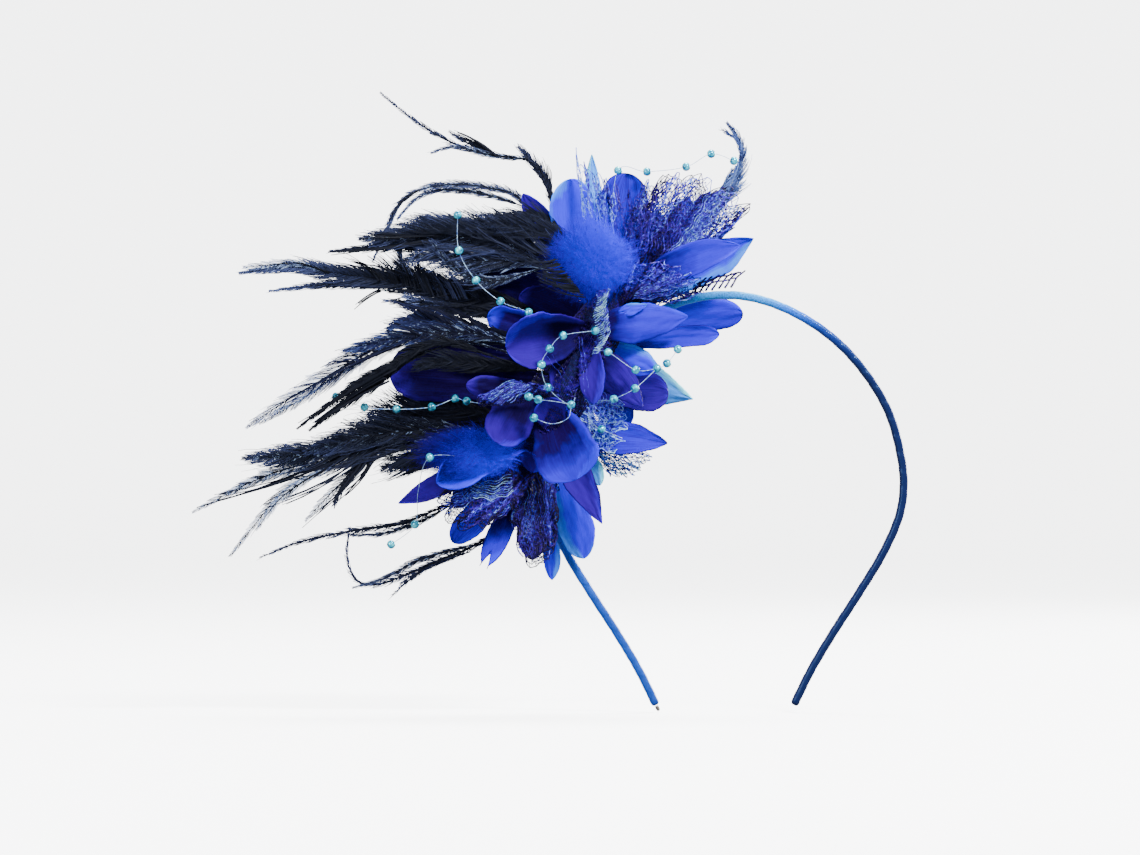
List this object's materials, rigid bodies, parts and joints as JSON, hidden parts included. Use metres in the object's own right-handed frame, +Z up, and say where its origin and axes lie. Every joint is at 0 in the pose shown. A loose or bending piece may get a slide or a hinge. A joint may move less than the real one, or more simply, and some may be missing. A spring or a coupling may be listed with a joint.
{
  "type": "feather headband",
  "caption": "Satin-wound spring headband with a side corsage of blue cloth petals, gathered net, pearl beads on thread, cock feathers and marabou down",
  "frame": {"origin": "inner face of the band's crown, midway between its two legs, where the band sits on the head", "axes": "+X from the side with the corsage toward the bare side (ear to ear), +Z up, -Y the side that shows the corsage"},
  "size_m": [0.257, 0.0683, 0.2237],
  "materials": {
    "satin_blue": "satin ribbon wound on a slant, soft sheen",
    "core_metal": "dull spring steel",
    "felt_navy": "matt navy felt",
    "petal_royal": "dyed cloth, royal blue, soft sheen",
    "petal_indigo": "dyed cloth, indigo, soft sheen",
    "petal_sky": "dyed cloth, sky blue, soft sheen",
    "petal_pale": "thin dyed cloth, pale cyan, lets light through",
    "net_blue": "fine stiff net, indigo with bright threads",
    "bead_pearl": "aqua pearl beads on clear thread",
    "feather_black": "near-black navy barbs",
    "feather_blue": "grey-blue barbs, half clear toward the tip",
    "down_royal": "soft down, royal blue",
    "down_black": "soft down, near black"
  },
  "bodies": {
    "root": {"band": "satin_blue", "band_end": "core_metal", "base": "felt_navy", "beads_far_left": "bead_pearl", "beads_left": "bead_pearl", "beads_lower": "bead_pearl", "beads_middle": "bead_pearl", "beads_right": "bead_pearl", "beads_side": "bead_pearl", "beads_top": "bead_pearl", "down_dark": "down_black", "down_lower": "down_royal", "down_upper": "down_royal", "feather_arch": "feather_black", "feather_black_blade": "feather_black", "feather_curl_lower": "feather_black", "feather_lower_plume": "feather_black", "feather_middle_plume": "feather_black", "feather_pale_blade": "feather_blue", "feather_thin_lower": "feather_black", "feather_top_quill": "feather_black", "feather_upper_plume": "feather_black", "feather_upper_right": "feather_blue", "net_fan": "net_blue", "net_gather_right": "net_blue", "net_hanging": "net_blue", "net_lower_left": "net_blue", "net_middle": "net_blue", "net_on_petal": "net_blue", "net_ribbon": "net_blue", "net_spikes": "net_blue", "petal_broad_lower": "petal_royal", "petal_cup_left": "petal_royal", "petal_curled_left": "petal_indigo", "petal_dark_left": "petal_indigo", "petal_dark_point_left": "petal_indigo", "petal_front_middle": "petal_royal", "petal_front_right": "petal_royal", "petal_front_triangle": "petal_indigo", "petal_indigo_point": "petal_indigo", "petal_lobe_right": "petal_indigo", "petal_lower_left": "petal_royal", "petal_lower_light": "petal_sky", "petal_lower_narrow": "petal_sky", "petal_middle_light": "petal_sky", "petal_pale_point": "petal_pale", "petal_pointed_right": "petal_indigo", "petal_round_left": "petal_indigo", "petal_ruffle_carrier": "petal_royal", "petal_small_left": "petal_royal", "petal_tiny_left": "petal_royal", "petal_top_far_left": "petal_indigo", "petal_top_left": "petal_sky", "petal_top_middle": "petal_royal", "petal_top_spike": "petal_pale", "petal_two_points": "petal_royal", "petal_under_band_long": "petal_royal", "petal_under_band_short": "petal_royal", "petal_upper_right": "petal_indigo", "petal_upper_right_pale": "petal_pale"}
  },
  "joints": []
}
